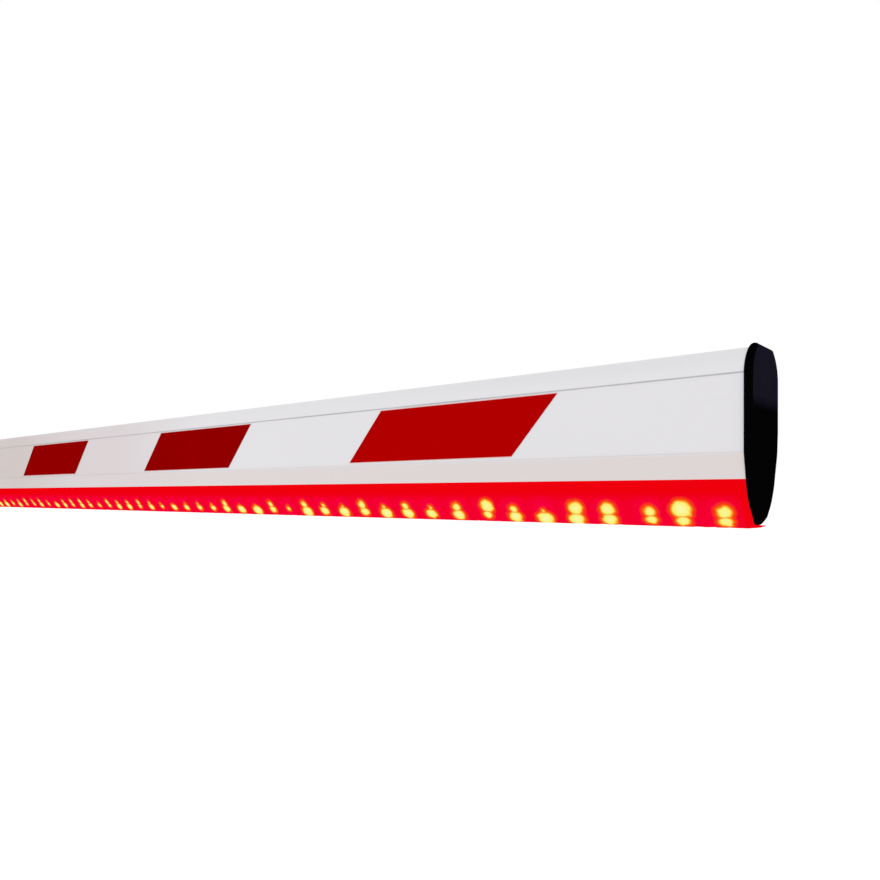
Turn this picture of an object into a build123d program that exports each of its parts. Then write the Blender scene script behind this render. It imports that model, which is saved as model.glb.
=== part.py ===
"""Parking barrier gate: a cabinet with a worm gear drive and a 3 m lit aluminium boom.

Millimetres. +Z is up and Z 0 is the underside of the base plate. The origin is the centre of the
anchor bolt pattern. +X runs along the lowered boom to its tip, -Y is the boom side of the cabinet
and +Y is the door side.
"""

import os
from math import atan2, cos, floor, radians, sin

from build123d import *

# ---- boom ----
boom_length = 3000.0  # tube, tail end to tip end
boom_tail = 150.0  # tube behind the shaft axis
tube_half_width = 22.0  # across the two creases
tube_half_height = 37.25
flat_top = 21.5  # crease under the top bevel, above mid height
flat_bottom = -22.6  # crease over the lower bevel
flat_recess = 0.5  # the side flats sit this far in from the creases
crown_half_width = 8.0  # flat along the very top
keel_half_width = 19.0  # underside of the tube
tube_wall = 2.0
slot_mouth_half = 12.0
slot_half = 16.0
slot_lip = 2.0
slot_depth = 6.0
lens_drop = 28.15  # lens below the tube
lens_wall = 2.5
lens_start = 160.0  # lens begins here, clear of the clamp
lens_fit = 0.5
lens_leg = 3.0
strip_thickness = 1.6
led_pitch = 24.6
led_end_gap = 15.3  # last light from the tube end
led_size = 5.0
led_height = 1.6
cap_thickness = 5.0
cap_lip = 1.0  # cap beyond the creases
cap_crown_lip = 2.6  # cap above the top of the tube
cap_crown_half = 5.0
cap_drop = 26.0  # cap below the tube
cap_toe = 3.4  # cap thickness near its lowest point
cap_toe_rise = 5.0  # height of the rounding there
cap_knee = 28.0  # the face starts to lean back this far above the keel
cap_fit = 0.3
plug_depth = 12.0
sticker_length = 160.0
sticker_pitch = 331.0
sticker_slant = 36.5
sticker_end_gap = 154.5
sticker_thickness = 0.4
sticker_top_margin = 1.3  # bare flat over a sticker
sticker_low_margin = 2.3  # and under it

# ---- cabinet ----
shell_length = 340.0  # along X
shell_depth = 300.0  # along Y
shell_height = 920.0
shell_wall = 2.5
shell_radius = 25.0
base_thickness = 10.0
base_overhang = 10.0
anchor_x = 280.0  # anchor bolt pattern
anchor_y = 230.0
anchor_hole_radius = 9.0
conduit_radius = 35.0
conduit_y = 85.0
shaft_height = 830.0
lid_height = 60.0
lid_drop = 15.0  # lid skirt below the top of the shell
lid_gap = 3.0
lid_wall = 3.0
gasket_thickness = 4.0
rim_width = 12.0
vent_bottom = 120.0
vent_length = 90.0
vent_slot = 5.0
lid_screw_spacing = 60.0  # from the middle of the lid
lid_screw_radius = 3.0

# ---- drive ----
shaft_radius = 20.0
running_fit = 0.08
link_clearance = 0.3
lever_arm = 90.0
lever_angle = 135.0  # lever and crank from +X towards +Z, boom down
link_length = 350.0  # shaft axis down to the gearbox output axis
pin_radius = 8.0
lever_thickness = 14.0
link_thickness = 16.0
output_radius = 15.0
chassis_thickness = 10.0
chassis_half_width = 120.0
chassis_gap = 17.5  # front wall to chassis plate
motor_radius = 45.0
motor_length = 180.0
bearing_boss_radius = 40.0
bearing_foot = 92.0
bearing_foot_thickness = 12.0
bearing_length = 28.0
tie_spacing = 60.0
tie_radius = 10.0
tie_end_radius = 6.0
bridge_span = 120.0  # chassis plate to bridge
bridge_thickness = 10.0
bridge_half_width = 80.0
buffer_radius = 10.0
buffer_reach = 62.0  # from the shaft axis
buffer_gap = 0.6  # buffer to lever at each end of the swing
lever_width = 32.0
lever_hub_radius = 34.0
crank_hub_radius = 28.0
eye_radius = 17.0
rod_radius = 7.0
rod_seat = 30.0  # pin axis to the end of the rod in its eye
gearbox_left = 70.0  # from the output axis
gearbox_right = 95.0
gearbox_half_height = 65.0
gearbox_depth = 95.0
motor_offset = 45.0  # motor axis from the output axis
motor_fins = 24
foot_thickness = 8.0
foot_depth = 160.0
upstand_top = 100.0
gusset_thickness = 6.0
bolt_radius = 5.0
bolt_clearance = 0.1
hex_radius = 8.5  # across corners
hex_height = 6.0

# ---- shaft, flange and clamp ----
shaft_hole_radius = 45.0
escutcheon_radius = 70.0
escutcheon_thickness = 6.0
flange_radius = 60.0
flange_thickness = 14.0
flange_gap = 12.0
flange_bolt_circle = 40.0
clamp_half_length = 140.0
clamp_half_height = 70.0
clamp_split = 1.0  # half the gap between the halves
clamp_depth = 31.5
clamp_fit = 0.1
clamp_bolt_z = 56.0
clamp_bolt_x = 100.0
clamp_hole = 5.2
clamp_recess = 3.0
nut_radius = 9.2  # clamp nuts, across corners

# ---- door ----
door_wall = 2.5
door_bottom = 50.0
door_top = 890.0
door_overlap = 10.0
seal_gap = 2.0
hinge_knuckle = 5.0
hinge_pin = 2.5
hinge_third = 27.0  # length of one knuckle
hinge_end_gap = 0.4
leaf_thickness = 2.4
lock_height = 470.0
lock_inset = 27.0  # lock axis from the door's free edge
barrel_radius = 11.0
rotor_radius = 7.0
cam_thickness = 3.0
cam_length = 38.0
stiffener_width = 12.0
stiffener_depth = 8.0

# ---- electrics ----
control_width = 105.0
control_depth = 55.0
control_bottom = 560.0
control_top = 800.0
control_wall = 3.0
control_post = 5.0
supply_width = 90.0
supply_depth = 80.0
supply_height = 160.0

# ---- derived ----
shell_bottom = base_thickness
shell_top = shell_bottom + shell_height
half_x = shell_length / 2
half_y = shell_depth / 2
front = -half_y
back = half_y
chassis_front = front + shell_wall + chassis_gap
chassis_back = chassis_front + chassis_thickness
gear_height = shaft_height - link_length
flange_back = front - escutcheon_thickness - flange_gap
flange_front = flange_back - flange_thickness
boom_y = flange_front - clamp_depth
boom_x0 = -boom_tail
boom_x1 = boom_length - boom_tail
lens_bottom = -tube_half_height - lens_drop
bridge_y0 = chassis_back + bridge_span
bridge_y1 = bridge_y0 + bridge_thickness
lever_y0 = bridge_y1 + 10
lever_y1 = lever_y0 + lever_thickness
link_y0 = lever_y1 + 3
link_y1 = link_y0 + link_thickness
pin_x = lever_arm * cos(radians(lever_angle))
pin_z = lever_arm * sin(radians(lever_angle))
gear_x = motor_offset
gear_y = chassis_back + 50
hinge_x = -half_x + 42
hinge_y = back + 6
door_x0 = hinge_x + 8
door_x1 = half_x - 30
door_y0 = back + seal_gap
door_y1 = door_y0 + door_wall
lock_x = door_x1 - lock_inset


# ---- solids used again and again ----
def block(x0, x1, y0, y1, z0, z1):
    size = Box(x1 - x0, y1 - y0, z1 - z0)
    return Pos((x0 + x1) / 2, (y0 + y1) / 2, (z0 + z1) / 2) * size


def rod_y(x, z, r, y0, y1):
    return Pos(x, (y0 + y1) / 2, z) * Rot(90, 0, 0) * Cylinder(r, y1 - y0)


def rod_z(x, y, r, z0, z1):
    return Pos(x, y, (z0 + z1) / 2) * Cylinder(r, z1 - z0)


def hex_y(x, z, r, y0, y1):
    face = Plane.XZ * RegularPolygon(r, 6)
    return Pos(x, y1, z) * extrude(face, y1 - y0)


def hex_z(x, y, r, z0, z1):
    return Pos(x, y, z0) * extrude(RegularPolygon(r, 6), z1 - z0)


def upright(length, depth, radius, z0, z1, x=0.0, y=0.0):
    return Pos(x, y, z0) * extrude(RectangleRounded(length, depth, radius), z1 - z0)


def loose(pieces):
    return Compound(children=[s for p in pieces for s in p.solids()])


def save(name, shape):
    shape.label = name
    export_step(shape, os.path.join("parts", name + ".step"))


def along_boom(face, x0, x1):
    placed = Plane.YZ * face
    return Pos(x0, boom_y, shaft_height) * extrude(placed, x1 - x0)


def mirrored(edges):
    return Curve() + edges + [mirror(e, about=Plane.YZ) for e in edges]


# ---- boom sections, drawn in local Y and Z about the middle of the tube ----
# How far out and down the skin of the wedge runs, as shares of its half width and depth, and its
# slope in degrees.
skirt_profile = (
    (1.0, 0.0, 0),
    (0.925, 0.218, 24),
    (0.82, 0.40, 30),
    (0.665, 0.595, 36),
    (0.41, 0.808, 48),
    (0.0, 1.0, 90),
)


def outer_face(out=0.0, rise=0.0):
    """Tube outline, with its halves moved out sideways and its top and keel moved away."""
    w, h = tube_half_width + out, tube_half_height + rise
    crown, keel = crown_half_width + out, keel_half_width + out
    mid_w = crown + (w - crown) * 0.74
    mid_h = flat_top + (h - flat_top) * 0.63
    right = [
        Line((0, h), (crown, h)),
        ThreePointArc((crown, h), (mid_w, mid_h), (w, flat_top)),
        Line((w, flat_top), (w, flat_bottom)),
        Line((w, flat_bottom), (keel, -h)),
        Line((keel, -h), (0, -h)),
    ]
    return make_face(mirrored(right))


def hollow_face():
    w = tube_half_width - flat_recess - tube_wall
    h = tube_half_height - tube_wall
    floor_z = slot_roof() + tube_wall
    crown = crown_half_width - 1.0
    mid_w = crown + (w - crown) * 0.74
    mid_h = flat_top + (h - flat_top) * 0.60
    right = [
        Line((0, h), (crown, h)),
        ThreePointArc((crown, h), (mid_w, mid_h), (w, flat_top - 0.5)),
        Line((w, flat_top - 0.5), (w, flat_bottom + 0.5)),
        Line((w, flat_bottom + 0.5), (w - 1.2, floor_z)),
        Line((w - 1.2, floor_z), (0, floor_z)),
    ]
    return make_face(mirrored(right))


def slot_roof():
    return -tube_half_height + slot_depth


def rectangle(y0, y1, z0, z1):
    return Pos((y0 + y1) / 2, (z0 + z1) / 2) * Rectangle(y1 - y0, z1 - z0)


def skirt_face(drop, half_width, inset=0.0):
    """Rounded wedge below the tube, drop deep, with its skin moved in by inset."""
    top = -tube_half_height
    points = []
    for across, down, lean in skirt_profile:
        y = half_width * across - inset * cos(radians(lean))
        z = top - drop * down + inset * sin(radians(lean))
        points.append((max(y, 0.0), z))
    curve = Spline(*points, tangents=[(-0.12, -1), (-1, 0)])
    return make_face(mirrored([Line((0, top), points[0]), curve]))


def lens_face(inset=0.0):
    return skirt_face(lens_drop, keel_half_width - 0.4, inset)


def lens_section():
    top = -tube_half_height
    leg_out = slot_mouth_half - lens_fit
    leg_in = leg_out - lens_leg
    barb_low = top + slot_lip + 0.35
    barb_high = barb_low + 1.5
    face = lens_face() - (lens_face(lens_wall) & rectangle(-40, 40, -200, top - lens_wall))
    face -= rectangle(-leg_in, leg_in, top - lens_wall - 1, top + 1)
    for side in (-1, 1):
        face += rectangle(*sorted((side * leg_in, side * leg_out)), top - 0.5, barb_high)
        face += rectangle(*sorted((side * leg_in, side * (slot_half - 0.5))), barb_low, barb_high)
    return face


# ---- boom parts ----
def boom_extrusion():
    face = outer_face() - hollow_face()
    for side in (-1, 1):
        edge = sorted((side * (tube_half_width - flat_recess), side * (tube_half_width + 1)))
        face -= rectangle(*edge, flat_bottom, flat_top)
    face -= rectangle(-slot_mouth_half, slot_mouth_half, -tube_half_height - 1, slot_roof())
    face -= rectangle(-slot_half, slot_half, -tube_half_height + slot_lip, slot_roof())
    return along_boom(face, boom_x0, boom_x1)


def lean_back(points):
    """Prism across the boom, for a slanted cut; points are in X from the tube's end and Z."""
    face = make_face(Polyline(*points, close=True))
    prism = extrude(Plane.XZ * face, tube_half_width + 10, both=True)
    return Pos(boom_x1, boom_y, shaft_height) * prism


def led_lens():
    """The lens, with a tongue under the tip of the cap and a rounded lower corner there."""
    body = along_boom(lens_section(), lens_start, boom_x1)
    tongue_top = -tube_half_height - cap_drop - cap_fit
    tongue = lens_face() & rectangle(-40, 40, lens_bottom - 1, tongue_top)
    body += along_boom(tongue, boom_x1, boom_x1 + cap_toe)
    out, low = cap_toe + 1, lens_bottom - 1
    body -= lean_back([(-5, lens_bottom), (1, lens_bottom + 0.6), (out, low), (-5, low)])
    return body - lean_back([(1, lens_bottom + 0.6), (out, tongue_top), (out, low), (1, low)])


def led_strip():
    half = slot_mouth_half - lens_fit - lens_leg - lens_fit
    face = rectangle(-half, half, slot_roof() - strip_thickness, slot_roof())
    return along_boom(face, lens_start + 5, boom_x1 - 1)


def led_positions():
    last = boom_x1 - led_end_gap
    count = floor((last - lens_start - 15) / led_pitch) + 1
    return [last - led_pitch * i for i in range(count)]


def led_chips():
    z = shaft_height + slot_roof() - strip_thickness
    h = led_size / 2
    chips = []
    for x in led_positions():
        chips.append(block(x - h, x + h, boom_y - h, boom_y + h, z - led_height, z))
    return loose(chips)


def cap_face():
    """Outline of the end cap: the tube's, a little larger, and the wedge of the lens."""
    w, crown, top = tube_half_width + cap_lip, tube_half_height + cap_crown_lip, -tube_half_height
    keel = keel_half_width + 0.6
    right = [
        Line((0, crown), (cap_crown_half, crown)),
        ThreePointArc((cap_crown_half, crown), (w - 3.9, crown - 8.6), (w, flat_top)),
        Line((w, flat_top), (w, flat_bottom)),
        Line((w, flat_bottom), (keel, top)),
        Line((keel, top), (0, top)),
    ]
    return make_face(mirrored(right)) + skirt_face(cap_drop, keel)


def end_cap():
    plate = along_boom(cap_face(), boom_x1, boom_x1 + cap_thickness)
    t, crown = cap_thickness, tube_half_height + cap_crown_lip
    toe, knee = -tube_half_height - cap_drop, -tube_half_height + cap_knee
    plate -= lean_back([(1, crown + 0.1), (t + 1, crown - 3.2), (t + 1, crown + 5), (1, crown + 5)])
    plate -= lean_back([(t, knee), (cap_toe, toe - 0.1), (t + 5, toe - 0.1), (t + 5, knee)])
    round_top = toe + cap_toe_rise
    plate -= lean_back([(1.2, toe - 0.1), (cap_toe + 0.4, round_top), (t + 5, round_top), (t + 5, toe - 0.1)])
    plug = along_boom(offset(hollow_face(), -cap_fit), boom_x1 - plug_depth, boom_x1)
    core = along_boom(offset(hollow_face(), -4.0), boom_x1 - plug_depth, boom_x1 - 2)
    return plate + (plug - core)


def tail_cap():
    plate = along_boom(outer_face(cap_lip, cap_lip), boom_x0 - cap_thickness, boom_x0)
    plug = along_boom(offset(hollow_face(), -cap_fit), boom_x0, boom_x0 + plug_depth)
    core = along_boom(offset(hollow_face(), -4.0), boom_x0 + 2, boom_x0 + plug_depth)
    return plate + (plug - core)


def reflectors(side):
    flat = tube_half_width - flat_recess
    y0, y1 = sorted((side * flat, side * (flat + sticker_thickness)))
    z0, z1 = flat_bottom + sticker_low_margin, flat_top - sticker_top_margin
    strips = []
    x = boom_x1 - sticker_end_gap
    while x - sticker_length > lens_start:
        face = make_face(
            Polyline(
                (x - sticker_length, z0),
                (x, z0),
                (x + sticker_slant, z1),
                (x + sticker_slant - sticker_length, z1),
                close=True,
            )
        )
        strips.append(Pos(0, boom_y + y1, shaft_height) * extrude(Plane.XZ * face, y1 - y0))
        x -= sticker_pitch
    return loose(strips)


# ---- boom mounting ----
def clamp_bolt_places():
    return [(i * clamp_bolt_x, s * clamp_bolt_z) for i in (-1, 0, 1) for s in (-1, 1)]


def flange_bolt_places():
    r = flange_bolt_circle
    return [(r * cos(radians(a)), r * sin(radians(a))) for a in (45, 135, 225, 315)]


def clamp_half(y0, y1):
    w, h = clamp_half_length, clamp_half_height
    body = block(-w, w, y0, y1, shaft_height - h, shaft_height + h)
    body = fillet(body.edges().filter_by(Axis.Y), 12)
    body -= along_boom(outer_face(clamp_fit), -w - 1, w + 1)
    for x, z in clamp_bolt_places():
        body -= rod_y(x, shaft_height + z, clamp_hole, y0 - 1, y1 + 1)
    return body


def clamp_back_half():
    body = clamp_half(boom_y + clamp_split, flange_front)
    for x, z in clamp_bolt_places():
        body -= hex_y(x, shaft_height + z, nut_radius + 0.2, flange_front - hex_height, flange_front + 1)
    for x, z in flange_bolt_places():
        body -= rod_y(x, shaft_height + z, clamp_hole, boom_y, flange_front + 1)
    return body


def clamp_front_half():
    body = clamp_half(boom_y - clamp_depth, boom_y - clamp_split)
    out, w = boom_y - clamp_depth, clamp_half_length - 20
    return body - block(-w, w, out - 1, out + clamp_recess, shaft_height - 20, shaft_height + 20)


def clamp_bolts():
    out = boom_y - clamp_depth
    bolts = []
    for x, z in clamp_bolt_places():
        z += shaft_height
        bolt = rod_y(x, z, 10, out - 1.5, out)
        bolt += hex_y(x, z, 8, out - 8, out - 1.5)
        bolt += rod_y(x, z, bolt_radius, out, flange_front - 1)
        bolt += hex_y(x, z, nut_radius, flange_front - hex_height, flange_front - 0.5)
        bolts.append(bolt)
    return loose(bolts)


def main_shaft():
    flange = rod_y(0, shaft_height, flange_radius, flange_front, flange_back)
    body = flange + rod_y(0, shaft_height, shaft_radius + 4, flange_back, front - 2)
    body += rod_y(0, shaft_height, shaft_radius, front - 2, lever_y1 + 2)
    for x, z in flange_bolt_places():
        body -= rod_y(x, shaft_height + z, clamp_hole, flange_front - 1, flange_back + 1)
    body -= rod_y(0, shaft_height, 5, lever_y1 - 20, lever_y1 + 3)
    return body


def flange_bolts():
    reach = boom_y + tube_half_width + 3
    bolts = []
    for x, z in flange_bolt_places():
        z += shaft_height
        bolt = rod_y(x, z, bolt_radius, reach, flange_back)
        bolt += rod_y(x, z, 8, flange_back, flange_back + 5)
        bolts.append(bolt - hex_y(x, z, 3.5, flange_back + 2, flange_back + 6))
    return loose(bolts)


# ---- cabinet parts ----
def rounded_ring(length, depth, radius, wall, z0, z1):
    outer = upright(length, depth, radius, z0, z1)
    inner = upright(length - 2 * wall, depth - 2 * wall, max(radius - wall, 1), z0 - 1, z1 + 1)
    return outer - inner


def base_bolt_places():
    x, y = chassis_half_width - 25, [chassis_back + 30, 20.0]
    return [(s * x, v) for s in (-1, 1) for v in y]


def base_plate():
    length, depth = shell_length + 2 * base_overhang, shell_depth + 2 * base_overhang
    body = upright(length, depth, 15, 0, base_thickness)
    body = chamfer(body.edges().group_by(Axis.Z)[-1], 1.5)
    for sx in (-1, 1):
        for sy in (-1, 1):
            x, y = sx * anchor_x / 2, sy * anchor_y / 2
            body -= rod_z(x, y, anchor_hole_radius, -1, base_thickness + 1)
    body -= rod_z(0, conduit_y, conduit_radius, -1, base_thickness + 1)
    for x, y in base_bolt_places():
        body -= rod_z(x, y, bolt_radius + bolt_clearance, 2, base_thickness + 1)
    return body


def lid_screw_places():
    x = half_x - shell_wall - rim_width / 2
    return [(s * x, t * lid_screw_spacing) for s in (-1, 1) for t in (-1, 1)]


def door_opening():
    o = door_overlap
    return door_x0 + o, door_x1 - o, door_bottom + o, door_top - o


def cabinet_shell():
    body = rounded_ring(shell_length, shell_depth, shell_radius, shell_wall, shell_bottom, shell_top)
    body += rounded_ring(shell_length - 1, shell_depth - 1, shell_radius - 0.5, rim_width + 2,
                         shell_top - shell_wall, shell_top)
    body += rounded_ring(shell_length - 1, shell_depth - 1, shell_radius - 0.5, rim_width - 4,
                         shell_bottom, shell_bottom + shell_wall)
    x0, x1, z0, z1 = door_opening()
    body -= block(x0, x1, back - shell_wall - 1, back + 1, z0, z1)
    body -= rod_y(0, shaft_height, shaft_hole_radius, front - 1, front + shell_wall + 1)
    for x, y in lid_screw_places():
        body -= rod_z(x, y, lid_screw_radius + 0.2, shell_top - shell_wall - 1, shell_top + 1)
    w = vent_length / 2
    for i in range(6):
        z = vent_bottom + 14 * i
        body -= block(-w, w, front - 1, front + shell_wall + 1, z, z + vent_slot)
    return body


def lid_gasket():
    body = rounded_ring(shell_length - 4, shell_depth - 4, shell_radius - 2, rim_width,
                        shell_top, shell_top + gasket_thickness)
    for x, y in lid_screw_places():
        body -= rod_z(x, y, lid_screw_radius + 0.2, shell_top - 1, shell_top + gasket_thickness + 1)
    return body


def cabinet_lid():
    over, gap = 2 * (lid_gap + lid_wall), 2 * lid_gap
    z0, z1 = shell_top - lid_drop, shell_top - lid_drop + lid_height
    body = upright(shell_length + over, shell_depth + over, shell_radius + over / 2, z0, z1)
    body = fillet(body.edges().group_by(Axis.Z)[-1], 12)
    ledge = shell_top + gasket_thickness
    body -= upright(shell_length + gap, shell_depth + gap, shell_radius + lid_gap, z0 - 1, ledge)
    body -= upright(shell_length - 28, shell_depth - 28, 14, ledge - 1, z1 - lid_wall)
    for x, y in lid_screw_places():
        body -= rod_z(x, y, lid_screw_radius + 0.05, ledge - 1, ledge + 12)
    return body


def lid_screws():
    screws = []
    under = shell_top - shell_wall
    for x, y in lid_screw_places():
        screw = rod_z(x, y, lid_screw_radius, under, shell_top + gasket_thickness + 10)
        screw += rod_z(x, y, 5, under - 4, under)
        screws.append(screw - hex_z(x, y, 2.5, under - 5, under - 1.5))
    return loose(screws)


def shaft_escutcheon():
    body = rod_y(0, shaft_height, escutcheon_radius, front - escutcheon_thickness, front)
    body = chamfer(body.edges().group_by(Axis.Y)[0], 2)
    body -= rod_y(0, shaft_height, shaft_radius + 8, front - escutcheon_thickness - 1, front + 1)
    for a in range(45, 360, 90):
        r = (escutcheon_radius + shaft_hole_radius) / 2
        x, z = r * cos(radians(a)), r * sin(radians(a))
        body -= rod_y(x, shaft_height + z, 4, front - escutcheon_thickness - 1, front - 4)
    return body


# ---- chassis parts ----
def upstand_bolt_places():
    return [(s * x, 60.0) for s in (-1, 1) for x in (35, 95)]


def tie_places():
    return [(sx * tie_spacing, shaft_height + sz * tie_spacing) for sx in (-1, 1) for sz in (-1, 1)]


def chassis_plate():
    w = chassis_half_width
    body = block(-w, w, chassis_front, chassis_back, base_thickness + foot_thickness, shaft_height + 75)
    body = fillet(body.edges().filter_by(Axis.Y), 8)
    body -= rod_y(0, shaft_height, shaft_radius + 4, chassis_front - 1, chassis_back + 1)
    for z in (650.0, 700.0):
        for s in (-1, 1):
            body -= rod_y(s * 60, z, 18, chassis_front - 1, chassis_back + 1)
    for x, z in upstand_bolt_places():
        body -= rod_y(x, z, bolt_radius + bolt_clearance, chassis_front - 1, chassis_back + 1)
    for x, z in tie_places():
        body -= rod_y(x, z, tie_end_radius + bolt_clearance, chassis_front - 1, chassis_back + 1)
    return body


def chassis_foot():
    w, z0 = chassis_half_width, base_thickness
    z1, rear = z0 + foot_thickness, chassis_back + foot_depth
    face = chassis_back + foot_thickness
    body = block(-w, w, chassis_front, rear, z0, z1)
    body += block(-w, w, chassis_back, face, z1, upstand_top)
    for s in (-1, 1):
        x0, x1 = sorted((s * w, s * (w - gusset_thickness)))
        web = make_face(Polyline((face, z1), (rear - 20, z1), (rear - 20, z1 + 2),
                                 (face + 12, upstand_top), (face, upstand_top), close=True))
        body += Pos(x0, 0, 0) * extrude(Plane.YZ * web, x1 - x0)
    for x, y in base_bolt_places():
        body -= rod_z(x, y, bolt_radius + bolt_clearance, z0 - 1, z1 + 1)
    for x, z in upstand_bolt_places():
        body -= rod_y(x, z, bolt_radius + bolt_clearance, chassis_back - 1, face + 1)
    return body


def chassis_bolts():
    bolts = []
    foot, face = base_thickness + foot_thickness, chassis_back + foot_thickness
    for x, y in base_bolt_places():
        washer = rod_z(x, y, hex_radius + 1.5, foot, foot + 2)
        head = hex_z(x, y, hex_radius, foot + 2, foot + 2 + hex_height)
        bolts.append(rod_z(x, y, bolt_radius, 3, foot) + washer + head)
    for x, z in upstand_bolt_places():
        head = hex_y(x, z, hex_radius, chassis_front - hex_height, chassis_front)
        nut = hex_y(x, z, hex_radius, face, face + hex_height)
        bolts.append(rod_y(x, z, bolt_radius, chassis_front, face) + head + nut)
    return loose(bolts)


def bearing_bridge():
    w = bridge_half_width
    body = block(-w, w, bridge_y0, bridge_y1, shaft_height - 78, shaft_height + 75)
    body = fillet(body.edges().filter_by(Axis.Y), 10)
    body -= rod_y(0, shaft_height, shaft_radius + 8, bridge_y0 - 1, bridge_y1 + 1)
    for x, z in tie_places():
        body -= rod_y(x, z, tie_end_radius + bolt_clearance, bridge_y0 - 1, bridge_y1 + 1)
    return body


def bridge_tie_bars():
    bars = []
    for x, z in tie_places():
        bar = rod_y(x, z, tie_radius, chassis_back, bridge_y0)
        bar += rod_y(x, z, tie_end_radius, chassis_front, chassis_back)
        bar += rod_y(x, z, tie_end_radius, bridge_y0, bridge_y1)
        bar += hex_y(x, z, tie_radius - 0.5, chassis_front - hex_height, chassis_front)
        bar += hex_y(x, z, tie_radius - 0.5, bridge_y1, bridge_y1 + hex_height)
        bars.append(bar)
    return loose(bars)


def bearing_housing(face_y, toward):
    """Flange bearing: a square foot on the plate and a round boss pointing along Y."""
    foot_y = sorted((face_y, face_y + toward * bearing_foot_thickness))
    boss_y = sorted((face_y, face_y + toward * bearing_length))
    h = bearing_foot / 2
    foot = block(-h, h, *foot_y, shaft_height - h, shaft_height + h)
    foot = fillet(foot.edges().filter_by(Axis.Y), 20)
    body = foot + rod_y(0, shaft_height, bearing_boss_radius, *boss_y)
    return body - rod_y(0, shaft_height, shaft_radius + running_fit, boss_y[0] - 1, boss_y[1] + 1)


def buffer_places():
    """Beside the lever at each end of its swing."""
    side = lever_width / 2 + buffer_radius + buffer_gap
    swing = atan2(side, (buffer_reach**2 - side**2) ** 0.5)
    low = radians(lever_angle) - swing
    high = radians(lever_angle + 90) + swing
    return [(buffer_reach * cos(a), shaft_height + buffer_reach * sin(a)) for a in (low, high)]


def stop_buffers():
    return loose([rod_y(x, z, buffer_radius, bridge_y1 + 4, lever_y1) for x, z in buffer_places()])


def stop_studs():
    return loose([rod_y(x, z, buffer_radius + 1, bridge_y1, bridge_y1 + 4) for x, z in buffer_places()])


def gearbox_housing():
    y0, y1, z, h = chassis_back, chassis_back + gearbox_depth, gear_height, gearbox_half_height
    body = block(-gearbox_left, gearbox_right, y0, y1, z - h, z + h)
    body = fillet(body.edges().filter_by(Axis.Y), 14)
    body += rod_y(0, z, 3 * output_radius, y1, y1 + 12)
    body += rod_z(gear_x, gear_y, motor_radius + 3, z - h - 10, z - h + 1)
    for i in range(5):
        x = 20 - gearbox_left + 30 * i
        for low, high in ((z - h + 5, z - h + 19), (z + h - 19, z + h - 5)):
            body += block(x, x + 4, y1 - 1, y1 + 6, low, high)
    return body - rod_y(0, z, output_radius + running_fit, y0 + 10, y1 + 13)


def gearbox_cover():
    z = gear_height + gearbox_half_height
    cover = rod_z(gear_x, gear_y, 30, z, z + 8)
    for a in range(45, 360, 90):
        cover += hex_z(gear_x + 23 * cos(radians(a)), gear_y + 23 * sin(radians(a)), 4, z + 8, z + 12)
    return cover


def motor_top():
    return gear_height - gearbox_half_height - 10


def motor_housing():
    z1 = motor_top()
    z0 = z1 - motor_length
    body = rod_z(gear_x, gear_y, motor_radius - 5, z0, z1)
    body += rod_z(gear_x, gear_y, motor_radius + 2, z1 - 8, z1)
    for i in range(motor_fins):
        fin = Pos(motor_radius - 4.5, 0, 0) * Box(8, 2, motor_length - 20)
        turn = Rot(0, 0, 360 / motor_fins * i) * fin
        body += Pos(gear_x, gear_y, (z0 + z1 - 8) / 2) * turn
    return body


def motor_end_bell():
    z1 = motor_top() - motor_length
    body = rod_z(gear_x, gear_y, motor_radius - 2, z1 - 35, z1)
    body = fillet(body.edges().group_by(Axis.Z)[0], 8)
    for i in range(12):
        a = radians(30 * i)
        body -= rod_z(gear_x + 28 * cos(a), gear_y + 28 * sin(a), 3, z1 - 36, z1 - 30)
    return body


def motor_terminal_box():
    z = motor_top() - motor_length / 2
    y0 = gear_y + motor_radius - 0.4
    body = block(gear_x - 28, gear_x + 28, y0, y0 + 26, z - 35, z + 35)
    body = fillet(body.edges().filter_by(Axis.Y), 4)
    for sx in (-1, 1):
        for sz in (-1, 1):
            body -= rod_y(gear_x + sx * 22, z + sz * 29, 2, y0 + 24, y0 + 27)
    return body


def control_frame():
    x1, y0 = half_x - shell_wall, link_y1 + 9
    return x1 - control_width, x1, y0, y0 + control_depth, control_bottom, control_top


def control_box():
    x0, x1, y0, y1, z0, z1 = control_frame()
    body = block(x0, x1, y0, y1, z0, z1)
    w, post = control_wall, control_post + 2
    body -= block(x0 + w, x1 - w, y0 + w, y1 + 1, z0 + w, z1 - w)
    for sx in (x0 + post, x1 - post):
        for sz in (z0 + post, z1 - post):
            body += rod_y(sx, sz, control_post, y0 + 1, y1)
    for i in range(3):
        body += rod_z(x0 + 25 + 27 * i, y0 + 28, 9, z0 - 12, z0 + 1)
    return body


def control_board():
    x0, x1, y0, y1, z0, z1 = control_frame()
    body = block(x0 + 16, x1 - 16, y0 + 12, y0 + 14, z0 + 16, z1 - 16)
    body += block(x0 + 22, x1 - 22, y0 + 14, y0 + 26, z0 + 20, z0 + 34)
    body += block(x0 + 22, x0 + 50, y0 + 14, y0 + 30, z1 - 70, z1 - 30)
    body += rod_y(x0 + 68, z1 - 50, 11, y0 + 14, y0 + 38)
    for sx in (x0 + 24, x1 - 24):
        for sz in (z0 + 45, z1 - 20):
            body += rod_y(sx, sz, 3, y0 + 3, y0 + 12)
    return body


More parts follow.
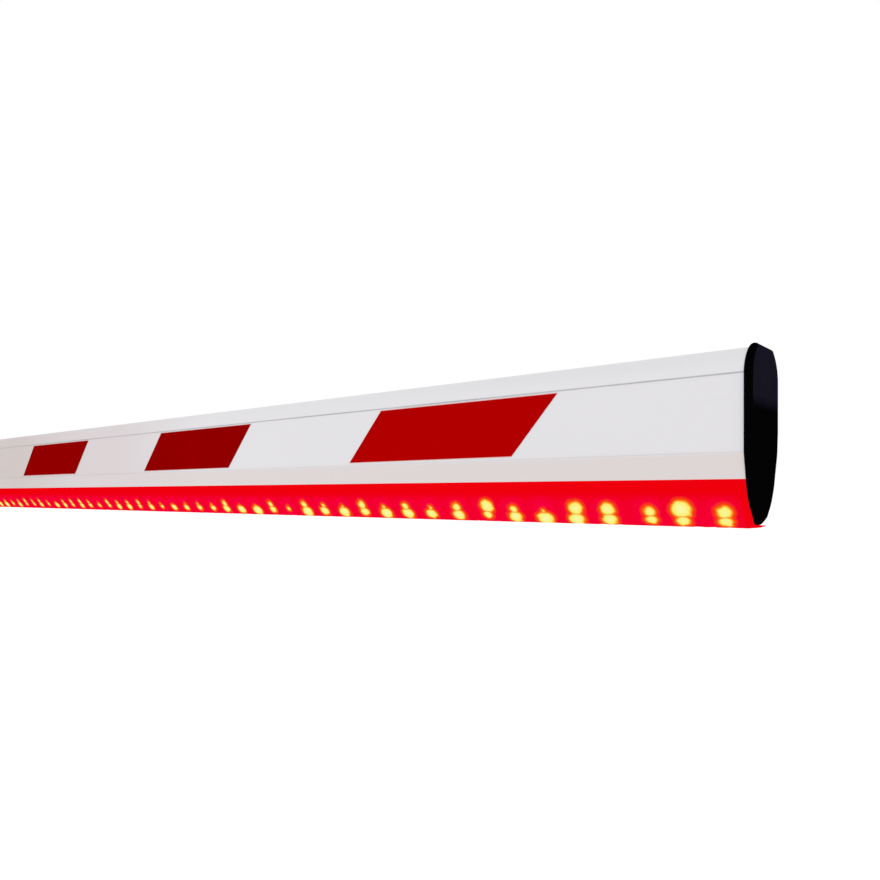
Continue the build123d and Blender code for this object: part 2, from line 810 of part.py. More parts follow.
def control_cover():
    x0, x1, y0, y1, z0, z1 = control_frame()
    body = block(x0, x1, y1, y1 + 4, z0, z1)
    body = chamfer(body.faces().sort_by(Axis.Y)[-1].edges(), 1.2)
    body += block(x0 + 20, x1 - 20, y1 + 3, y1 + 6, z1 - 90, z1 - 40)
    for i in range(3):
        body += rod_y(x0 + 27 + 25 * i, z0 + 60, 7, y1 + 3, y1 + 8)
    return body


def power_supply():
    x0, z0 = -half_x + shell_wall + 8, base_thickness
    x1, z1 = x0 + supply_width, z0 + supply_height
    y0 = half_y - 24 - supply_depth
    y1 = y0 + supply_depth
    body = block(x0, x1, y0, y1, z0, z1)
    for i in range(9):
        z = z0 + 50 + 10 * i
        body -= block(x0 + 12, x1 - 12, y1 - 3, y1 + 1, z, z + 4)
    body -= block(x0 + 10, x1 - 10, y1 - 8, y1 + 1, z0 + 10, z0 + 36)
    for i in range(6):
        x = x0 + 14 + 11 * i
        body += block(x, x + 8, y1 - 9, y1 - 2, z0 + 12, z0 + 30)
    return body


# ---- door parts ----
def hinge_levels():
    return [door_bottom + 100, door_top - 180]


def hinge_fixed_leaves():
    leaves = []
    for z in hinge_levels():
        top = z + 3 * hinge_third
        leaf = block(hinge_x - 30, hinge_x - hinge_knuckle - 1.5, back, back + leaf_thickness, z, top)
        knuckle = hinge_third - hinge_end_gap
        for low, high in ((z, z + knuckle), (top - knuckle, top)):
            leaf += rod_z(hinge_x, hinge_y, hinge_knuckle, low, high)
            leaf += block(hinge_x - 7, hinge_x - 1, back, back + leaf_thickness + 1, low, high)
        leaf -= rod_z(hinge_x, hinge_y, hinge_pin + running_fit, z - 1, top + 1)
        leaves.append(leaf)
    return loose(leaves)


def hinge_moving_leaves():
    leaves = []
    for z in hinge_levels():
        low, high = z + hinge_third + hinge_end_gap, z + 2 * hinge_third - hinge_end_gap
        leaf = rod_z(hinge_x, hinge_y, hinge_knuckle, low, high)
        leaf += block(hinge_x, door_x0 + 24, door_y1, door_y1 + leaf_thickness, low, high)
        leaf -= rod_z(hinge_x, hinge_y, hinge_pin, low - 1, high + 1)
        leaves.append(leaf)
    return loose(leaves)


def hinge_pins():
    pins = []
    for z in hinge_levels():
        pins.append(rod_z(hinge_x, hinge_y, hinge_pin, z - 2, z + 3 * hinge_third + 2))
    return loose(pins)


def door_gasket():
    x0, x1, z0, z1 = door_opening()
    out, y = door_overlap - 1.5, back + seal_gap
    outer = block(x0 - out, x1 + out, back, y - 0.3, z0 - out, z1 + out)
    return outer - block(x0 - 2, x1 + 2, back - 1, y, z0 - 2, z1 + 2)


def door_panel():
    body = block(door_x0, door_x1, door_y0, door_y1, door_bottom, door_top)
    body = fillet(body.edges().filter_by(Axis.Y), 10)
    body = chamfer(body.faces().sort_by(Axis.Y)[-1].edges(), 0.8)
    body -= rod_y(lock_x, lock_height, barrel_radius, door_y0 - 1, door_y1 + 1)
    for i in range(8):
        z = 130 + 16 * i
        body -= block(-50, 60, door_y0 - 1, door_y1 + 1, z, z + 5)
    return body


def door_stiffeners():
    bars = []
    z0, z1 = door_bottom + 60, door_top - 60
    for x in (door_x0 + 40, door_x1 - 46 - stiffener_width):
        bars.append(block(x, x + stiffener_width, door_y0 - stiffener_depth, door_y0, z0, z1))
    return loose(bars)


def lock_barrel():
    body = rod_y(lock_x, lock_height, barrel_radius, door_y0 - 10, door_y1)
    body += rod_y(lock_x, lock_height, barrel_radius + 3, door_y1, door_y1 + 3)
    body += hex_y(lock_x, lock_height, barrel_radius + 3, door_y0 - 6, door_y0)
    return body - rod_y(lock_x, lock_height, rotor_radius + running_fit, door_y0 - 11, door_y1 + 4)


def lock_rotor():
    body = rod_y(lock_x, lock_height, rotor_radius, door_y0 - 10.5, door_y1 + 3)
    return body - block(lock_x - 1, lock_x + 1, door_y1, door_y1 + 4, lock_height - 4, lock_height + 4)


def lock_cam():
    y1 = door_y0 - 10.5
    y0 = y1 - cam_thickness
    body = rod_y(lock_x, lock_height, rotor_radius, y0, y1)
    w = rotor_radius
    return body + block(lock_x - w, lock_x + w, y0, y1, lock_height - cam_length, lock_height)


# ---- linkage parts, drawn for the boom down ----
def arm_plate(cx, cz, y0, y1, hub):
    """Hub at (cx, cz), eye at the end of the arm, straight sides between them."""
    arm = Pos(lever_arm / 2, 0, 0) * Box(lever_arm, lever_thickness, lever_width)
    arm = Pos(cx, (y0 + y1) / 2, cz) * Rot(0, -lever_angle, 0) * arm
    return rod_y(cx, cz, hub, y0, y1) + arm + rod_y(cx + pin_x, cz + pin_z, lever_width / 2, y0, y1)


def drive_lever():
    body = arm_plate(0, shaft_height, lever_y0, lever_y1, lever_hub_radius)
    body -= rod_y(0, shaft_height, shaft_radius, lever_y0 - 1, lever_y1 + 1)
    return body - rod_y(pin_x, shaft_height + pin_z, pin_radius, lever_y0 - 1, lever_y1 + 1)


def crank_arm():
    body = arm_plate(0, gear_height, lever_y0, lever_y1, crank_hub_radius)
    body -= rod_y(0, gear_height, output_radius, lever_y0 - 1, lever_y1 + 1)
    return body - rod_y(pin_x, gear_height + pin_z, pin_radius, lever_y0 - 1, lever_y1 + 1)


def link_pin(cz):
    x, z = pin_x, cz + pin_z
    pin = rod_y(x, z, pin_radius, lever_y0, link_y1 + 1)
    pin += rod_y(x, z, 12, link_y1 + 1, link_y1 + 4)
    return pin + rod_y(x, z, 11, lever_y1, lever_y1 + 2.5)


def output_shaft():
    shaft = rod_y(0, gear_height, output_radius, chassis_back + 12, lever_y1 + 2)
    return shaft + rod_y(0, gear_height, output_radius + 4, lever_y1, lever_y1 + 2.5)


def connecting_rod():
    low, high = gear_height + pin_z, shaft_height + pin_z
    y = (link_y0 + link_y1) / 2
    return rod_z(pin_x, y, rod_radius, low + rod_seat, high - rod_seat)


def rod_ends():
    low, high = gear_height + pin_z, shaft_height + pin_z
    y = (link_y0 + link_y1) / 2
    ends = []
    for z, turn, clear in ((low, 1, running_fit), (high, -1, link_clearance)):
        eye = rod_y(pin_x, z, eye_radius, link_y0, link_y1)
        neck0, neck1 = sorted((z + turn * 12, z + turn * 48))
        eye += rod_z(pin_x, y, rod_radius + 2.5, neck0, neck1)
        nut0, nut1 = sorted((z + turn * 48, z + turn * 56))
        eye += hex_z(pin_x, y, rod_radius + 4, nut0, nut1)
        eye -= rod_y(pin_x, z, pin_radius + clear, link_y0 - 1, link_y1 + 1)
        eye -= rod_z(pin_x, y, rod_radius, *sorted((z + turn * rod_seat, z + turn * 60)))
        ends.append(eye)
    return loose(ends)


def build():
    os.makedirs("parts", exist_ok=True)
    parts = [
        base_plate, cabinet_shell, cabinet_lid, lid_gasket, lid_screws, shaft_escutcheon,
        chassis_plate, chassis_foot, chassis_bolts, bearing_bridge, bridge_tie_bars,
        stop_buffers, stop_studs, gearbox_housing, gearbox_cover, motor_housing,
        motor_end_bell, motor_terminal_box, control_box, control_board, control_cover,
        power_supply, hinge_fixed_leaves, door_gasket, door_panel, door_stiffeners,
        hinge_moving_leaves, hinge_pins, lock_barrel, lock_rotor, lock_cam, main_shaft,
        drive_lever, crank_arm, output_shaft, connecting_rod, rod_ends, clamp_back_half,
        clamp_front_half, clamp_bolts, flange_bolts, boom_extrusion, led_lens, led_strip,
        led_chips, end_cap, tail_cap,
    ]
    for part in parts:
        save(part.__name__, part())
    save("front_bearing_housing", bearing_housing(chassis_back, 1))
    save("rear_bearing_housing", bearing_housing(bridge_y0, -1))
    save("lever_pin", link_pin(shaft_height))
    save("crank_pin", link_pin(gear_height))
    save("reflectors_front", reflectors(-1))
    save("reflectors_rear", reflectors(1))


build()
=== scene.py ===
"""The looks of the parking barrier gate: a material for every CAD piece, a pale floor, soft light and
the camera. Metres, in the CAD model's frame."""

from math import radians

import bmesh
import bpy
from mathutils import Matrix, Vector

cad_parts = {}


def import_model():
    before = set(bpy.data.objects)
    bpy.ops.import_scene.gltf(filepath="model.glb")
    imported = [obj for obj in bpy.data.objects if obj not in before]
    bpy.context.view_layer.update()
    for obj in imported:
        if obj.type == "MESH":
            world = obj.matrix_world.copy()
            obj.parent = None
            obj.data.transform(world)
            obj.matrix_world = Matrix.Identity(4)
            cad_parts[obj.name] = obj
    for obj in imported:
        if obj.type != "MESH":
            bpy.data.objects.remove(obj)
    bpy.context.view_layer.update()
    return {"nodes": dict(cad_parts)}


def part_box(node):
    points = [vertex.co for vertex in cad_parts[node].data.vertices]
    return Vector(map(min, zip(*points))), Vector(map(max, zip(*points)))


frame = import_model()
nodes = frame["nodes"]

# ---- places, from the frame ----
tube_low, tube_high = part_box("boom_extrusion")
chips_low, chips_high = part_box("led_chips")
film_low, film_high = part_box("reflectors_front")
tube_end = tube_high.x
boom_y = (tube_low.y + tube_high.y) / 2
boom_z = (tube_low.z + tube_high.z) / 2
last_light = chips_high.x - (chips_high.y - chips_low.y) / 2  # middle of the light nearest the tip
light_pitch = 0.0246  # from one light to the next, as in the CAD model
crease_above_film = 0.0013  # the upper crease of the boom, over the top edge of its stickers

# The lights from the tip inwards: sizes of the upper and the lower spot, as shares of the usual spot,
# and how far the light sits towards the tip, as a share of the pitch. Those beyond vary at random.
near_lights = (
    (0.92, 0.80, -0.09), (1.30, 0.85, 0.02), (0.74, 0.74, 0.21), (1.02, 1.05, 0.02),
    (1.08, 1.18, 0.09), (0.40, 1.30, 0.12), (0.64, 1.10, 0.09), (1.10, 0.72, 0.18),
    (0.72, 1.05, 0.09), (0.45, 1.00, 0.0), (0.66, 1.12, 0.0), (0.45, 1.25, 0.0),
    (0.80, 0.95, 0.0), (0.40, 1.20, 0.0), (0.50, 1.00, 0.0), (0.70, 1.30, 0.0),
    (0.20, 0.55, 0.0),
)


# ---- node helpers ----
def opaque(value):
    """A colour of three numbers with its alpha added, and anything else as it is."""
    if isinstance(value, tuple) and len(value) == 3:
        return (*value, 1.0)
    return value


def scaled(base, factor, lift=0.0):
    """The colour made darker or lighter, with no channel over 1."""
    return tuple(min(1.0, channel * factor + lift) for channel in base)


class Graph:
    """A node material with short calls for the nodes used below."""

    def __init__(self, name):
        self.material = bpy.data.materials.new(name)
        self.material.use_nodes = True
        self.tree = self.material.node_tree
        self.shader = self.tree.nodes["Principled BSDF"]
        self.position = self.new("ShaderNodeTexCoord").outputs["Object"]

    def new(self, kind, **settings):
        node = self.tree.nodes.new(kind)
        for key, value in settings.items():
            setattr(node, key, value)
        return node

    def put(self, socket, value):
        """Links a socket, or sets it to a number or a colour."""
        if isinstance(value, bpy.types.NodeSocket):
            self.tree.links.new(value, socket)
        else:
            socket.default_value = value

    def maths(self, operation, a, b=0.0):
        node = self.new("ShaderNodeMath", operation=operation)
        self.put(node.inputs[0], a)
        self.put(node.inputs[1], b)
        return node.outputs[0]

    def plus(self, a, b):
        return self.maths("ADD", a, b)

    def minus(self, a, b):
        return self.maths("SUBTRACT", a, b)

    def times(self, a, b):
        return self.maths("MULTIPLY", a, b)

    def over(self, a, b):
        return self.maths("DIVIDE", a, b)

    def magnitude(self, a):
        return self.maths("ABSOLUTE", a)

    def split(self, vector=None):
        """The three numbers of a vector or a colour, or of the place on the object."""
        node = self.new("ShaderNodeSeparateXYZ")
        self.put(node.inputs[0], self.position if vector is None else vector)
        return node.outputs

    def stretched(self, scale):
        node = self.new("ShaderNodeMapping")
        self.put(node.inputs["Vector"], self.position)
        self.put(node.inputs["Scale"], scale)
        return node.outputs[0]

    def noise(self, scale, detail, stretch=None, roughness=0.5):
        node = self.new("ShaderNodeTexNoise")
        self.put(node.inputs["Vector"], self.stretched(stretch) if stretch else self.position)
        self.put(node.inputs["Scale"], scale)
        self.put(node.inputs["Detail"], detail)
        self.put(node.inputs["Roughness"], roughness)
        return node.outputs["Fac"]

    def drift(self, scale, detail, low=0.0, high=1.0, stretch=None):
        """Noise that wanders over the whole way from low to high."""
        return self.remap(self.noise(scale, detail, stretch), 0.3, 0.7, low, high)

    def clouds(self, scale, detail):
        """Noise from 0 to 1 with clear stretches at 0 between its patches."""
        return self.remap(self.noise(scale, detail), 0.35, 0.7)

    def cells(self, scale, feature, stretch=None):
        node = self.new("ShaderNodeTexVoronoi", feature=feature)
        self.put(node.inputs["Vector"], self.stretched(stretch) if stretch else self.position)
        self.put(node.inputs["Scale"], scale)
        return node.outputs["Distance"]

    def rows(self, index, table):
        """The row of the table that the whole number index picks, in the sockets of a colour."""
        node = self.new("ShaderNodeValToRGB")
        ramp = node.color_ramp
        ramp.interpolation = "CONSTANT"
        while len(ramp.elements) < len(table):
            ramp.elements.new(1.0)
        for i, row in enumerate(table):
            ramp.elements[i].position = i / len(table)
            ramp.elements[i].color = opaque(row)
        self.put(node.inputs["Fac"], self.over(self.plus(index, 0.5), len(table)))
        return self.split(node.outputs["Color"])

    def remap(self, value, low, high, out_low=0.0, out_high=1.0, smooth=False):
        """The value spread from low..high to out_low..out_high, and held at those ends."""
        node = self.new("ShaderNodeMapRange", interpolation_type="SMOOTHSTEP" if smooth else "LINEAR")
        for socket, item in zip(node.inputs, (value, low, high, out_low, out_high)):
            self.put(socket, item)
        return node.outputs[0]

    def mix(self, factor, a, b):
        """Colour a where the factor is 0, and colour b where it is 1."""
        node = self.new("ShaderNodeMix", data_type="RGBA")
        colour_a, colour_b = (socket for socket in node.inputs if socket.type == "RGBA")
        self.put(node.inputs["Factor"], factor)
        self.put(colour_a, opaque(a))
        self.put(colour_b, opaque(b))
        return next(socket for socket in node.outputs if socket.type == "RGBA")

    def wear(self):
        """1 on edges and corners, 0 on flats, from the surface's own pointiness."""
        geometry = self.new("ShaderNodeNewGeometry")
        return self.remap(geometry.outputs["Pointiness"], 0.52, 0.56)

    def bump(self, height, strength, distance):
        node = self.new("ShaderNodeBump")
        self.put(node.inputs["Height"], height)
        self.put(node.inputs["Strength"], strength)
        self.put(node.inputs["Distance"], distance)
        self.put(self.shader.inputs["Normal"], node.outputs[0])

    def glow(self, tint, strength):
        self.put(self.shader.inputs["Emission Color"], tint)
        self.put(self.shader.inputs["Emission Strength"], strength)

    def finish(self, base, roughness, metallic=0.0, specular=None):
        self.put(self.shader.inputs["Base Color"], opaque(base))
        self.put(self.shader.inputs["Roughness"], roughness)
        self.put(self.shader.inputs["Metallic"], metallic)
        if specular is not None:
            self.put(self.shader.inputs["Specular IOR Level"], specular)
        return self.material


# ---- materials of the boom ----
def boom_coat():
    """White boom coating: cool white near the tip and painted shade that turns it a little duller and
    more grey farther in, a painted warm shade on the lower bevel, faint die lines along the length and
    a painted shade line in the upper crease."""
    cool_white, painted_shade_cream = (0.655, 0.645, 0.665), (0.620, 0.565, 0.553)
    painted_shade_grey, painted_deep_shade_grey = (0.580, 0.522, 0.532), (0.505, 0.445, 0.430)
    cloud_white, scuff_grey, painted_crease_shade_grey = (0.62, 0.61, 0.62), (0.48, 0.47, 0.46), (0.34, 0.34, 0.37)
    bevel_full, bevel_top = -0.0238, -0.0220
    crease_z = film_high.z + crease_above_film - boom_z

    g = Graph("boom_coat")
    axes = g.split()
    z = g.minus(axes["Z"], boom_z)
    inward = g.minus(tube_end, axes["X"])
    # painted shade: the down-facing lower bevel is given a darker, warmer tone
    base = g.mix(g.remap(z, bevel_full, bevel_top, 1.0, 0.0), cool_white, painted_shade_cream)
    # painted shade: the coating turns duller and more grey from about 0.5 m in from the tip, then
    # darker and warmer from about 0.76 m in
    base = g.mix(g.remap(inward, 0.50, 0.74, smooth=True), base, painted_shade_grey)
    base = g.mix(g.remap(inward, 0.76, 1.02, smooth=True), base, painted_deep_shade_grey)

    cloud = g.drift(14.0, 5.0, stretch=(0.4, 1.0, 1.0))
    base = g.mix(g.times(cloud, 0.16), base, cloud_white)
    scuff = g.remap(g.noise(70.0, 6.0, stretch=(0.06, 1.0, 1.0), roughness=0.7), 0.64, 0.78)
    base = g.mix(g.times(scuff, 0.14), base, scuff_grey)
    # painted shade: a thin darker grey line along the upper crease, broken up by noise
    crease = g.remap(g.magnitude(g.minus(z, crease_z)), 0.0002, 0.0007, 1.0, 0.0)
    crease_shade_patchiness = g.remap(g.noise(18.0, 3.0, stretch=(0.5, 0.0, 0.0)), 0.3, 0.6, 0.25, 0.75)
    base = g.mix(g.times(crease, crease_shade_patchiness), base, painted_crease_shade_grey)

    die = g.noise(700.0, 2.0, stretch=(0.01, 1.0, 1.0))
    peel = g.cells(1100.0, "SMOOTH_F1")
    g.bump(g.plus(g.times(die, 0.5), peel), strength=0.10, distance=0.00015)
    return g.finish(base, g.drift(30.0, 4.0, 0.34, 0.46, stretch=(0.3, 1.0, 1.0)), specular=0.35)


def reflective_film():
    """Red reflective sheeting: a fine bead pattern under a clear skin, and a painted pale highlight
    along its top and bottom edges. Painted shade makes it deeper red farther in."""
    near_red, painted_shade_red = (0.376, 0.0, 0.0), (0.222, 0.0, 0.0)
    net_red, cloud_red, painted_edge_highlight = (0.46, 0.0, 0.0), (0.34, 0.0, 0.0), (0.80, 0.48, 0.46)
    middle = (film_low.z + film_high.z) / 2
    half = (film_high.z - film_low.z) / 2

    g = Graph("reflective_film")
    axes = g.split()
    # painted shade: the sheeting turns a deeper red from about 0.36 m in from the tip
    base = g.mix(g.remap(axes["X"], tube_end - 0.46, tube_end - 0.36, 1.0, 0.0), near_red, painted_shade_red)
    beads = g.cells(330.0, "DISTANCE_TO_EDGE", stretch=(1.0, 0.1, 1.0))
    net = g.remap(beads, 0.02, 0.09, 1.0, 0.0)
    base = g.mix(g.times(net, 0.16), base, net_red)
    base = g.mix(g.times(g.clouds(25.0, 4.0), 0.18), base, cloud_red)
    # painted highlight: a pale line along the top and bottom edges of each sticker
    edge = g.remap(g.magnitude(g.minus(axes["Z"], middle)), half - 0.0004, half - 0.0002)
    base = g.mix(g.times(edge, 0.75), base, painted_edge_highlight)
    g.bump(g.plus(beads, g.noise(60.0, 2.0)), strength=0.08, distance=0.0002)
    return g.finish(base, g.drift(45.0, 4.0, 0.40, 0.55), specular=0.0)


def lit_lens():
    """Red diffusing lens over a row of lights. Each light shows as a double yellow spot with an orange
    halo, the lower half below a thin dark joint line, and each differs in size and brightness.
    Lengths in here are millimetres, and heights are from the middle of the boom."""
    red, rose, low_red = (0.86, 0.0, 0.003), (0.93, 0.0, 0.046), (0.74, 0.003, 0.018)
    ember, orange, joint_orange = (0.93, 0.045, 0.002), (0.94, 0.20, 0.010), (0.85, 0.14, 0.003)
    amber, yellow, hot = (0.95, 0.66, 0.075), (0.95, 0.91, 0.22), (0.97, 0.96, 0.42)
    base_light, base_dark = (0.035, 0.0, 0.001), (0.020, 0.0, 0.001)
    pitch = light_pitch * 1000.0
    joint_at_tip, joint_inward, joint_settles = -59.4, -57.4, 11.0
    lean = 0.13

    g = Graph("lit_lens")
    axes = g.split()
    z = g.times(g.minus(axes["Z"], boom_z), 1000.0)
    along = g.over(g.minus(last_light, axes["X"]), light_pitch)
    index = g.maths("ROUND", along)
    above = g.minus(z, g.remap(along, 0.0, joint_settles, joint_at_tip, joint_inward))
    wobble = g.times(g.minus(g.noise(240.0, 2.0), 0.5), 2.4)
    known = g.rows(index, near_lights)
    offset = g.times(g.minus(along, index), pitch)
    offset = g.plus(g.plus(offset, g.times(above, lean)), wobble)
    offset = g.plus(offset, g.times(known[2], pitch))
    beyond = g.maths("GREATER_THAN", index, len(near_lights) - 0.5)
    past_last = g.maths("LESS_THAN", along, -0.5)

    def random(seed, low, high):
        """A number of its own for each light."""
        node = g.new("ShaderNodeTexWhiteNoise", noise_dimensions="1D")
        g.put(node.inputs["W"], g.plus(index, seed))
        return g.remap(node.outputs["Value"], 0.0, 1.0, low, high)

    def size(socket, seed, low, high):
        """The size in the table for the near lights, and a random one beyond."""
        return g.remap(beyond, 0.0, 1.0, known[socket], random(seed, low, high))

    def spot(side, half_height, half_width, share, shift):
        """How far out from the edge of the spot above (1) or below (-1) the joint line."""
        tall, wide = g.times(share, half_height), g.times(share, half_width)
        dx = g.over(g.plus(offset, shift), wide)
        dz = g.over(g.minus(g.plus(above, wobble), g.times(tall, 0.86 * side)), tall)
        reach = g.maths("SQRT", g.plus(g.times(dx, dx), g.times(dz, dz)))
        faint = g.remap(share, 0.75, 0.35, 0.0, 1.0)
        return g.plus(g.times(g.minus(reach, 1.0), wide), faint)

    upper = spot(1.0, 4.0, 4.6, size(0, 3.1, 0.20, 0.70), random(10.4, -0.8, 0.8))
    lower = spot(-1.0, 3.3, 4.8, size(1, 11.7, 0.60, 1.30), random(18.9, -0.8, 0.8))
    nearest = g.plus(g.maths("MINIMUM", upper, lower), g.times(past_last, 9.0))

    # The red between the spots: rosier round each light and lower down, darker at the bottom edge.
    painted_glow_and_reflection = g.magnitude(g.over(offset, pitch / 2))
    painted_glow_and_reflection = g.remap(painted_glow_and_reflection, 1.3, 0.1, 0.45, 1.0, smooth=True)
    depth = g.remap(z, -44.0, -53.0, 0.0, 1.0, smooth=True)
    end = g.remap(along, -0.60, -0.15, 0.0, 1.0, smooth=True)
    tint = g.mix(g.times(g.times(painted_glow_and_reflection, depth), end), red, rose)
    tint = g.mix(g.remap(z, -63.6, -65.2, 0.0, 0.5), tint, low_red)

    # The spots: from the outer glow in to the hot middle, with the joint line across the halo.
    tint = g.mix(g.remap(nearest, 3.8, 1.3, smooth=True), tint, ember)
    halo = g.remap(nearest, 1.7, 0.2, smooth=True)
    tint = g.mix(halo, tint, orange)
    tint = g.mix(g.remap(nearest, 0.6, -0.7, smooth=True), tint, amber)
    tint = g.mix(g.remap(nearest, -0.2, -1.5, smooth=True), tint, yellow)
    tint = g.mix(g.remap(nearest, -2.0, -4.6, 0.0, 0.9, smooth=True), tint, hot)
    off_joint = g.remap(g.magnitude(above), 0.10, 0.50)
    tint = g.mix(g.times(g.minus(1.0, off_joint), g.times(halo, 0.60)), tint, joint_orange)

    g.glow(tint, 0.97)
    g.bump(g.noise(420.0, 2.0, stretch=(0.05, 1.0, 1.0)), strength=0.06, distance=0.0002)
    base = g.mix(g.drift(30.0, 3.0), base_light, base_dark)
    return g.finish(base, g.drift(50.0, 3.0, 0.30, 0.42), specular=0.0)


def light_emitter():
    """Warm light chips behind the lens."""
    g = Graph("light_emitter")
    g.glow(g.mix(g.noise(400.0, 2.0), (1.0, 0.62, 0.18), (1.0, 0.80, 0.42)), 2.0)
    return g.finish((0.8, 0.6, 0.3), 0.35)


def cap_plastic():
    """Black end cap: fine spark grain, and a painted reflection, faint blue grey over the upper half of
    its face.
    """
    black, reflected_blue_grey = (0.0012, 0.0010, 0.0012), (0.0095, 0.0085, 0.0165)
    g = Graph("cap_plastic")
    axes = g.split()
    facing = g.split(g.new("ShaderNodeTexCoord").outputs["Normal"])
    face = g.remap(g.magnitude(facing["X"]), 0.90, 0.98)
    # painted reflection: faint blue grey on the upper half of the outer face
    high = g.remap(g.minus(axes["Z"], boom_z), 0.001, 0.010, smooth=True)
    painted_glow_and_reflection = g.times(g.times(face, high), g.remap(g.noise(30.0, 4.0), 0.2, 0.7, 0.6, 1.0))
    g.bump(g.noise(1500.0, 3.0), strength=0.15, distance=0.00015)
    return g.finish(g.mix(painted_glow_and_reflection, black, reflected_blue_grey), g.drift(60.0, 3.0, 0.50, 0.62), specular=0.0)


# ---- materials of the cabinet and the drive ----
def powder_coat(name, base, shade, dust=0.25):
    """Powder coated metal: fine orange peel, faint cloudiness, and grime in upright streaks."""
    g = Graph(name)
    streak = g.noise(9.0, 3.0, stretch=(1.0, 1.0, 0.12))
    tint = g.mix(g.drift(6.0, 4.0), base, shade)
    tint = g.mix(g.times(g.remap(streak, 0.45, 0.75, smooth=True), dust), tint, scaled(base, 0.72))
    peel = g.plus(g.cells(900.0, "SMOOTH_F1"), g.noise(450.0, 2.0))
    g.bump(peel, strength=0.12, distance=0.0002)
    return g.finish(tint, g.drift(40.0, 3.0, 0.36, 0.50))


def moulded_plastic(name, base):
    """Moulded plastic: fine spark grain, faint flow clouds and a little rub on the edges."""
    g = Graph(name)
    tint = g.mix(g.clouds(22.0, 4.0), base, scaled(base, 0.8))
    tint = g.mix(g.times(g.wear(), 0.35), tint, scaled(base, 1.8, lift=0.02))
    g.bump(g.noise(1400.0, 3.0), strength=0.16, distance=0.00018)
    return g.finish(tint, g.drift(60.0, 3.0, 0.42, 0.56), specular=0.5)


def brushed_metal(name, base, stretch=(1.0, 1.0, 0.03), rough=(0.24, 0.40), stain=0.2):
    """Bare or plated metal: fine brush lines, cloudy plating and brighter rubbed edges."""
    g = Graph(name)
    lines = g.noise(900.0, 3.0, stretch=stretch)
    tint = g.mix(g.times(g.clouds(18.0, 5.0), stain), base, scaled(base, 0.62))
    tint = g.mix(g.times(g.wear(), 0.5), tint, scaled(base, 1.35))
    g.bump(lines, strength=0.10, distance=0.00015)
    return g.finish(tint, g.remap(lines, 0.3, 0.7, *rough), metallic=1.0)


def cast_metal(name, base, metallic):
    """Sand cast surface: coarse grain, dull patches and rubbed edges."""
    g = Graph(name)
    cloud = g.clouds(16.0, 5.0)
    tint = g.mix(g.times(cloud, 0.35), base, scaled(base, 0.7))
    tint = g.mix(g.times(g.wear(), 0.6), tint, scaled(base, 1.8, lift=0.05))
    g.bump(g.noise(420.0, 5.0, roughness=0.65), strength=0.35, distance=0.0004)
    return g.finish(tint, g.remap(cloud, 0.0, 1.0, 0.46, 0.62), metallic)


def rubber():
    """Black rubber with pale dust in patches."""
    g = Graph("rubber")
    dust = g.remap(g.noise(35.0, 5.0), 0.5, 0.8)
    tint = g.mix(g.times(dust, 0.4), (0.018, 0.018, 0.019), (0.09, 0.088, 0.085))
    g.bump(g.noise(900.0, 3.0), strength=0.2, distance=0.0002)
    return g.finish(tint, g.remap(dust, 0.0, 1.0, 0.62, 0.80))


def circuit_board():
    """Green solder mask with paler copper runs under it."""
    g = Graph("circuit_board")
    runs = g.remap(g.cells(240.0, "DISTANCE_TO_EDGE"), 0.03, 0.06, 1.0, 0.0)
    g.bump(runs, strength=0.2, distance=0.0001)
    tint = g.mix(runs, (0.012, 0.085, 0.035), (0.05, 0.21, 0.07))
    return g.finish(tint, g.drift(80.0, 3.0, 0.25, 0.40))


def dress(material, *names):
    """Puts the material on those CAD nodes."""
    for name in names:
        slots = nodes[name].data.materials
        slots.clear()
        slots.append(material)


dress(boom_coat(), "boom_extrusion")
dress(reflective_film(), "reflectors_front", "reflectors_rear")
dress(lit_lens(), "led_lens")
dress(light_emitter(), "led_chips")
dress(circuit_board(), "led_strip", "control_board")
dress(cap_plastic(), "end_cap", "tail_cap")
dress(powder_coat("cabinet_coat", (0.60, 0.615, 0.61), (0.565, 0.58, 0.575)),
      "cabinet_shell", "door_panel")
dress(powder_coat("trim_coat", (0.040, 0.043, 0.048), (0.052, 0.055, 0.060), dust=0.15),
      "cabinet_lid", "base_plate", "shaft_escutcheon")
dress(brushed_metal("zinc_plate", (0.60, 0.61, 0.62), stain=0.45),
      "chassis_plate", "chassis_foot", "bearing_bridge", "door_stiffeners", "stop_studs")
dress(brushed_metal("plated_fasteners", (0.66, 0.65, 0.62), stretch=(1.0, 0.05, 1.0)),
      "chassis_bolts", "lid_screws", "clamp_bolts", "flange_bolts", "bridge_tie_bars")
dress(brushed_metal("stainless", (0.58, 0.58, 0.59)),
      "hinge_fixed_leaves", "hinge_moving_leaves", "hinge_pins", "lock_cam")
dress(brushed_metal("machined_steel", (0.50, 0.50, 0.51), stretch=(1.0, 0.04, 1.0), rough=(0.18, 0.32)),
      "main_shaft", "output_shaft", "lever_pin", "crank_pin", "connecting_rod", "rod_ends")
dress(cast_metal("painted_cast_iron", (0.085, 0.095, 0.11), metallic=0.25),
      "front_bearing_housing", "rear_bearing_housing", "drive_lever", "crank_arm")
dress(cast_metal("gearbox_alloy", (0.42, 0.43, 0.45), metallic=0.8), "gearbox_housing", "gearbox_cover")
dress(powder_coat("clamp_coat", (0.045, 0.047, 0.050), (0.058, 0.060, 0.064), dust=0.1),
      "clamp_back_half", "clamp_front_half")
dress(powder_coat("motor_coat", (0.025, 0.085, 0.19), (0.022, 0.070, 0.16)),
      "motor_housing", "motor_end_bell")
dress(moulded_plastic("black_plastic", (0.018, 0.018, 0.019)), "motor_terminal_box")
dress(moulded_plastic("grey_plastic", (0.46, 0.47, 0.48)), "control_box", "control_cover")
dress(brushed_metal("power_supply_metal", (0.66, 0.67, 0.68)), "power_supply")
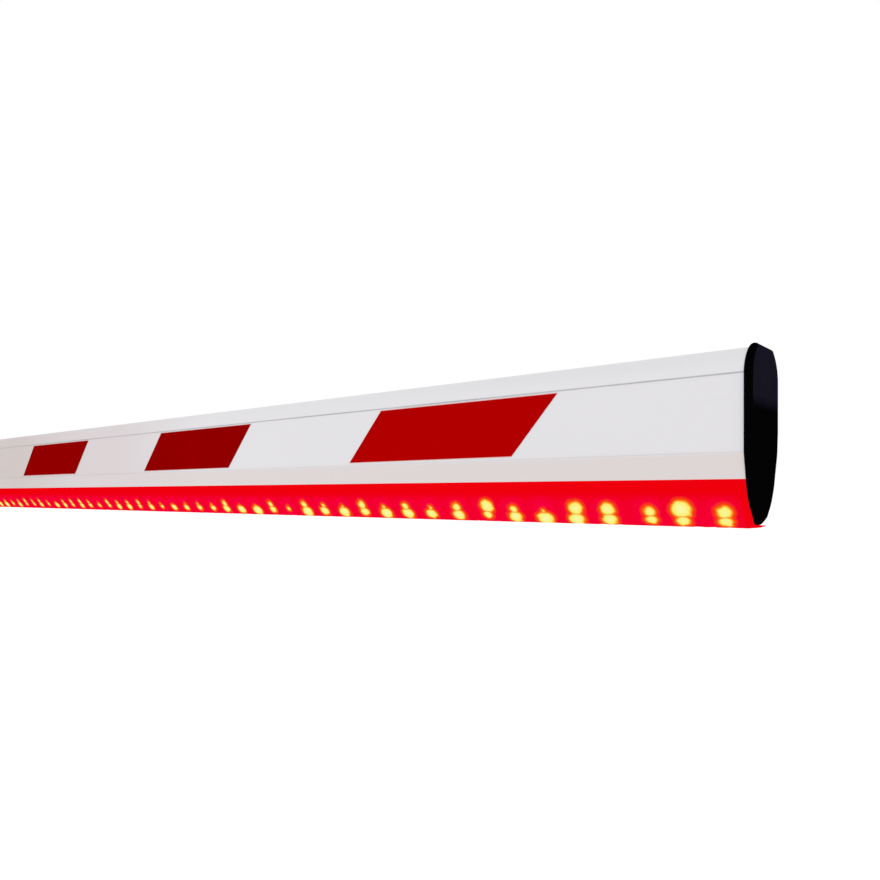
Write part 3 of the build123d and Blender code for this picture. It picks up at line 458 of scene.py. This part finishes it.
dress(brushed_metal("nickel_lock", (0.62, 0.60, 0.56), rough=(0.16, 0.28)), "lock_barrel", "lock_rotor")
dress(rubber(), "lid_gasket", "door_gasket", "stop_buffers")


# ---- floor, light and camera ----
def floor():
    """A wide pale disc that the cabinet stands on."""
    mesh = bpy.data.meshes.new("floor")
    shape = bmesh.new()
    bmesh.ops.create_circle(shape, cap_ends=True, radius=60.0, segments=96)
    shape.to_mesh(mesh)
    shape.free()
    disc = bpy.data.objects.new("floor", mesh)
    bpy.context.scene.collection.objects.link(disc)
    g = Graph("floor_paint")
    tint = g.mix(g.noise(0.4, 2.0), (0.97, 0.97, 0.97), (0.98, 0.98, 0.98))
    g.glow(tint, 0.10)
    mesh.materials.append(g.finish(tint, 0.95, specular=0.0))


def world():
    """Even white light from all round."""
    sky = bpy.data.worlds.new("studio")
    sky.use_nodes = True
    background = sky.node_tree.nodes["Background"]
    background.inputs["Color"].default_value = (1.0, 1.0, 1.0, 1.0)
    background.inputs["Strength"].default_value = 1.0
    bpy.context.scene.world = sky


def soft_light(name, place, target, size, power):
    data = bpy.data.lights.new(name, "AREA")
    data.size = size
    data.energy = power
    lamp = bpy.data.objects.new(name, data)
    lamp.location = place
    lamp.rotation_euler = (Vector(target) - Vector(place)).to_track_quat("-Z", "Y").to_euler()
    bpy.context.scene.collection.objects.link(lamp)


def camera():
    """A level camera just past the tip and in front of the boom, a little under its middle, that looks
    back along it."""
    past_tip, out_front, under_middle = 0.1327, 0.4391, 0.0456
    level, turned_back = radians(90.0), radians(40.0)
    data = bpy.data.cameras.new("camera")
    data.sensor_width = 36.0
    data.lens = 30.27
    data.shift_y = 0.0614
    data.clip_end = 200.0
    eye = bpy.data.objects.new("camera", data)
    eye.location = (tube_end + past_tip, boom_y - out_front, boom_z - under_middle)
    eye.rotation_euler = (level, 0.0, turned_back)
    bpy.context.scene.collection.objects.link(eye)
    bpy.context.scene.camera = eye


floor()
world()
soft_light("key", place=(1.0, -4.0, 3.2), target=(1.4, -0.2, 0.8), size=3.0, power=30.0)
camera()
bpy.context.scene.view_settings.view_transform = "Standard"
